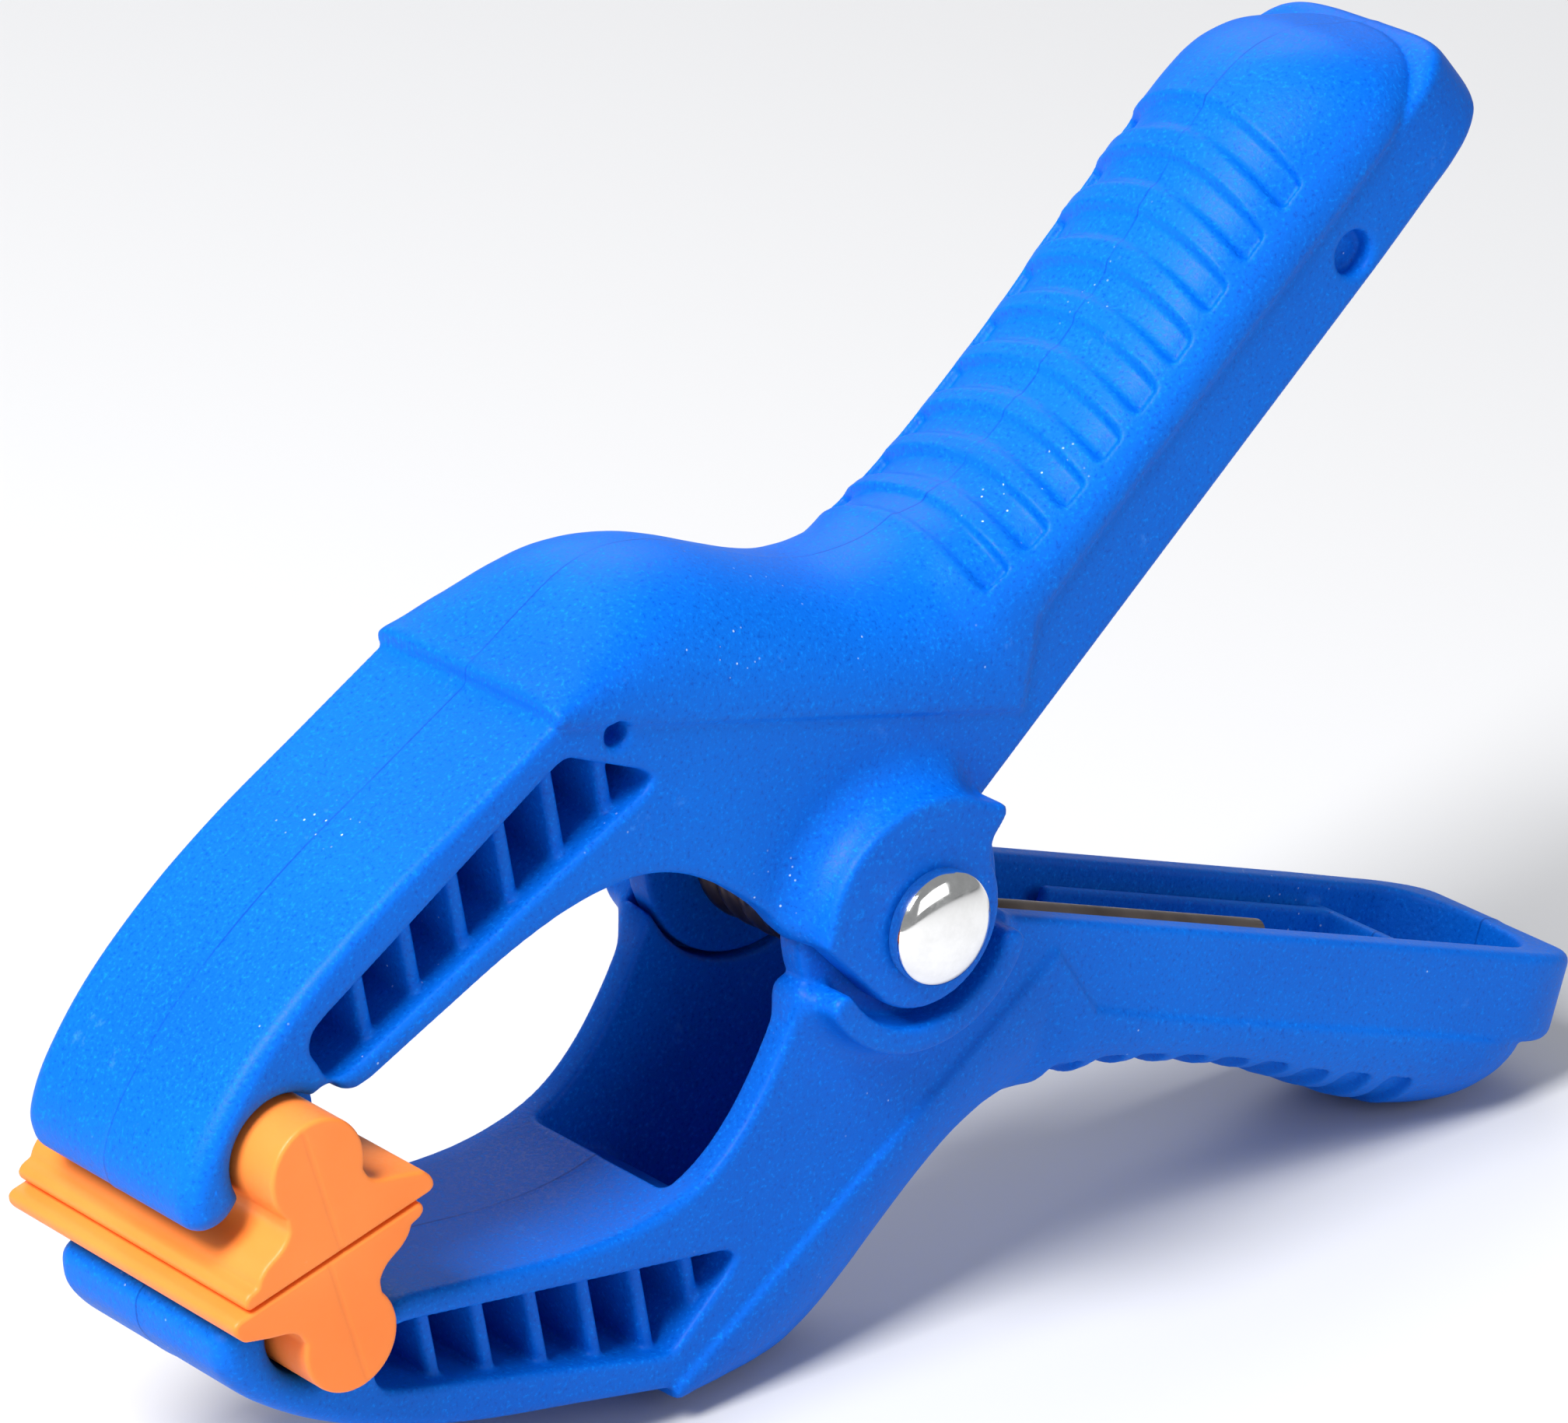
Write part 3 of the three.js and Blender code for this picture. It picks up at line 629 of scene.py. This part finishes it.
def make_spring(sides=20):
    """Round wire along the spring's line, with slightly rounded ends."""
    line = spring_line()
    tangent = np.gradient(line, axis=0)
    tangent /= np.linalg.norm(tangent, axis=1)[:, None]
    side = np.cross(tangent, (0.0, 1.0, 0.0))
    side /= np.linalg.norm(side, axis=1)[:, None]
    other = np.cross(side, tangent)
    angles = np.linspace(0, 2 * math.pi, sides, endpoint=False)
    last = len(line) - 1
    # Each ring: point of the line, distance ahead of it, and share of the wire's radius
    stations = [(0, -0.28, 0.0), (0, -0.28, 0.72), (0, -0.1, 0.93)]
    stations += [(i, 0.0, 1.0) for i in range(len(line))]
    stations += [(last, 0.1, 0.93), (last, 0.28, 0.72), (last, 0.28, 0.0)]
    rings = []
    for i, ahead, size in stations:
        centre = line[i] + tangent[i] * ahead
        rings.append(centre + WIRE_RADIUS * size * (np.cos(angles)[:, None] * side[i]
                                                    + np.sin(angles)[:, None] * other[i]))
    faces = []
    for i in range(len(rings) - 1):
        for k in range(sides):
            n = (k + 1) % sides
            faces.append((i * sides + k, i * sides + n, (i + 1) * sides + n, (i + 1) * sides + k))
    piece = mesh_object("torsion_spring_wire", to_row(np.vstack(rings)), faces)
    clean(piece)
    return piece


# ---- Materials ----

class Nodes:
    """Short calls for building one material's nodes."""

    def __init__(self, name):
        self.material = bpy.data.materials.new(name)
        self.material.use_nodes = True
        self.tree = self.material.node_tree
        self.shader = self.tree.nodes["Principled BSDF"]
        self.place = self.tree.nodes.new("ShaderNodeTexCoord").outputs["Object"]

    def node(self, kind, inputs=(), **settings):
        node = self.tree.nodes.new(kind)
        for key, value in settings.items():
            setattr(node, key, value)
        for key, value in dict(inputs).items():
            if isinstance(value, bpy.types.NodeSocket):
                self.tree.links.new(value, node.inputs[key])
            else:
                node.inputs[key].default_value = value
        return node

    def noise(self, scale, detail=2.0, roughness=0.5):
        return self.node("ShaderNodeTexNoise", {
            "Vector": self.place, "Scale": scale, "Detail": detail, "Roughness": roughness,
        }).outputs["Fac"]

    def remap(self, value, low, high, out_low=0.0, out_high=1.0):
        return self.node("ShaderNodeMapRange", {
            "Value": value, "From Min": low, "From Max": high,
            "To Min": out_low, "To Max": out_high,
        }).outputs["Result"]

    def math(self, operation, a, b):
        return self.node("ShaderNodeMath", {0: a, 1: b}, operation=operation).outputs[0]

    def mix(self, factor, a, b):
        node = self.node("ShaderNodeMix", data_type="RGBA")
        for key, value in ((0, factor), (6, a), (7, b)):
            if isinstance(value, bpy.types.NodeSocket):
                self.tree.links.new(value, node.inputs[key])
            else:
                node.inputs[key].default_value = value
        return node.outputs[2]

    def link(self, value, socket):
        self.tree.links.new(value, self.shader.inputs[socket])

    def bump(self, height, strength, distance, normal=None):
        inputs = {"Height": height, "Strength": strength, "Distance": distance}
        if normal is not None:
            inputs["Normal"] = normal
        return self.node("ShaderNodeBump", inputs).outputs["Normal"]


def arm_plastic():
    """Blue nylon: fine eroded grain, pits, faint scuffs, a few pale specks, and painted shade
    along the parting line.
    """
    n = Nodes("arm_plastic_blue")
    cloud = n.noise(28.0, 3.0)
    grain = n.noise(2600.0, 2.0, 0.6)
    pits = n.noise(1100.0, 1.0)
    scuff = n.noise(170.0, 5.0, 0.7)
    base = n.mix(n.remap(cloud, 0.35, 0.65), (0.0, 0.112, 0.60, 1), (0.0, 0.140, 0.68, 1))
    base = n.mix(n.remap(grain, 0.56, 0.74, 0.0, 0.55), base, (0.0, 0.26, 0.95, 1))
    base = n.mix(n.remap(grain, 0.42, 0.30, 0.0, 0.5), base, (0.0, 0.050, 0.40, 1))
    base = n.mix(n.remap(scuff, 0.66, 0.76, 0.0, 0.35), base, (0.10, 0.36, 0.95, 1))
    dust = n.node("ShaderNodeTexVoronoi", {"Vector": n.place, "Scale": 800.0},
                  feature="F1").outputs["Distance"]
    speck = n.math("MULTIPLY", n.remap(dust, 0.11, 0.06, 0.0, 0.7),
                   n.remap(n.noise(75.0), 0.60, 0.68))
    base = n.mix(speck, base, (0.62, 0.80, 1.0, 1))
    # Dark line painted along the parting plane where the two halves of the mould met: painted
    # shade of the fine parting crease
    across = n.node("ShaderNodeSeparateXYZ", {"Vector": n.place}).outputs["Y"]
    line = n.remap(n.node("ShaderNodeMath", {0: across}, operation="ABSOLUTE").outputs[0],
                   0.00016, 0.00007)
    line = n.math("MULTIPLY", line, n.remap(n.noise(110.0), 0.38, 0.56, 0.15, 0.6))
    base = n.mix(line, base, (0.0, 0.035, 0.27, 1))
    n.link(base, "Base Color")
    n.link(n.remap(grain, 0.3, 0.7, 0.38, 0.60), "Roughness")
    normal = n.bump(grain, 0.55, 0.00007)
    normal = n.bump(pits, 0.3, 0.00008, normal)
    n.link(normal, "Normal")
    n.shader.inputs["Specular IOR Level"].default_value = 0.12
    return n.material


def pad_plastic():
    """Orange plastic, smoother, with faint scuffs."""
    n = Nodes("pad_plastic_orange")
    cloud = n.noise(60.0, 3.0)
    grain = n.noise(1900.0, 2.0)
    scuff = n.noise(240.0, 6.0, 0.75)
    base = n.mix(n.remap(cloud, 0.35, 0.65), (0.96, 0.225, 0.032, 1), (1.0, 0.262, 0.045, 1))
    base = n.mix(n.remap(scuff, 0.68, 0.76, 0.0, 0.45), base, (1.0, 0.42, 0.18, 1))
    n.link(base, "Base Color")
    n.link(n.remap(grain, 0.3, 0.7, 0.38, 0.5), "Roughness")
    n.link(n.bump(grain, 0.12, 0.00005), "Normal")
    n.shader.inputs["Specular IOR Level"].default_value = 0.35
    n.shader.inputs["Subsurface Weight"].default_value = 0.12
    n.shader.inputs["Subsurface Radius"].default_value = (0.004, 0.0015, 0.0006)
    n.shader.inputs["Subsurface Scale"].default_value = 0.6
    return n.material


def nickel():
    """Bright plate with fine wear."""
    n = Nodes("nickel_bright")
    wear = n.noise(500.0, 6.0, 0.7)
    ripple = n.noise(1400.0, 3.0)
    n.link(n.mix(n.remap(wear, 0.4, 0.6), (0.86, 0.86, 0.85, 1), (0.93, 0.93, 0.92, 1)),
           "Base Color")
    n.link(n.remap(wear, 0.45, 0.7, 0.06, 0.22), "Roughness")
    n.link(n.bump(ripple, 0.05, 0.00003), "Normal")
    n.shader.inputs["Metallic"].default_value = 1.0
    return n.material


def spring_steel():
    """Drawn wire, brown-grey."""
    n = Nodes("spring_steel_drawn")
    streak = n.noise(900.0, 4.0, 0.6)
    tone = n.noise(120.0, 3.0)
    n.link(n.mix(n.remap(tone, 0.35, 0.65), (0.11, 0.085, 0.075, 1), (0.21, 0.170, 0.150, 1)),
           "Base Color")
    n.link(n.remap(streak, 0.3, 0.7, 0.28, 0.5), "Roughness")
    n.link(n.bump(streak, 0.15, 0.00004), "Normal")
    n.shader.inputs["Metallic"].default_value = 0.9
    return n.material


# ---- Camera and studio ----

def add_camera():
    """Sees the clamp from its near side, a little above, past the jaws. The place and the
    three axes are in the clamp's own frame, in millimetres."""
    data = bpy.data.cameras.new("photo_camera")
    camera = bpy.data.objects.new("photo_camera", data)
    bpy.context.scene.collection.objects.link(camera)
    right = Vector((0.758326, -0.636585, -0.140359))
    down = Vector((-0.407312, -0.294602, -0.864469))
    ahead = Vector((0.508958, 0.712719, -0.482693))
    spot = Vector((-381.66, -534.21, 378.14))
    turn = Matrix.Rotation(-STANCE, 3, "Y")
    place = (turn @ spot + PIVOT) / 1000
    axes = Matrix((turn @ right, turn @ -down, turn @ -ahead)).transposed()
    camera.matrix_world = Matrix.Translation(place) @ axes.to_4x4()
    data.sensor_width = 36
    data.lens = 189.05
    data.clip_start = 0.01
    data.clip_end = 20
    bpy.context.scene.camera = camera


def add_area(name, position, target, size, watts):
    data = bpy.data.lights.new(name, "AREA")
    data.shape = "RECTANGLE"
    data.size, data.size_y = size
    data.energy = watts
    light = bpy.data.objects.new(name, data)
    bpy.context.scene.collection.objects.link(light)
    light.location = position
    aim = Vector(target) - Vector(position)
    light.rotation_euler = aim.to_track_quat("-Z", "Y").to_euler()


def add_studio():
    reach = 6.0
    corners = [(-reach, -reach, 0), (reach, -reach, 0), (reach, reach, 0), (-reach, reach, 0)]
    floor = mesh_object("studio_floor", corners, [(0, 1, 2, 3)], smooth=False)
    material = bpy.data.materials.new("studio_floor_pale")
    material.use_nodes = True
    shader = material.node_tree.nodes["Principled BSDF"]
    shader.inputs["Base Color"].default_value = (0.66, 0.66, 0.67, 1)
    shader.inputs["Roughness"].default_value = 0.8
    floor.data.materials.append(material)
    world = bpy.data.worlds.new("studio")
    bpy.context.scene.world = world
    bpy.context.scene.view_settings.view_transform = "Standard"
    world.use_nodes = True
    world.node_tree.nodes["Background"].inputs["Color"].default_value = (0.96, 0.98, 1, 1)
    world.node_tree.nodes["Background"].inputs["Strength"].default_value = 0.3
    middle = (0, 0, 0.04)
    add_area("key", (-0.75, -0.15, 0.95), middle, (0.5, 0.5), 24)
    add_area("fill", (0.2, -1.1, 0.5), middle, (1.0, 0.6), 2.5)
    add_area("back", (0.5, 0.9, 0.8), middle, (0.9, 0.5), 4)


# ---- Assembly ----

def main():
    add_camera()
    add_studio()
    blue, orange, bright, steel = arm_plastic(), pad_plastic(), nickel(), spring_steel()
    upper_arm, lower_arm = make_arms()
    upper_pad, lower_pad = make_pads()
    pin, cap, spring = make_pin(), make_cap(), make_spring()
    table = (
        (upper_arm, blue, "arm_plastic", "upper_arm", "upper_arm"),
        (lower_arm, blue, "arm_plastic", "lower_arm", "lower_arm"),
        (upper_pad, orange, "pad_plastic", "upper_pad", "upper_pad"),
        (lower_pad, orange, "pad_plastic", "lower_pad", "lower_pad"),
        (pin, bright, "nickel", "lower_arm", "pivot_pin"),
        (cap, bright, "nickel", "lower_arm", "pin_cap"),
        (spring, steel, "spring_steel", None, "torsion_spring"),
    )
    for piece, material, slot, body, node in table:
        piece.data.materials.clear()
        piece.data.materials.append(material)
        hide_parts(node)
        if body:
            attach(piece, body)
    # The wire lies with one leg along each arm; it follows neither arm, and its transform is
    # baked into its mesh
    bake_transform(spring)


main()
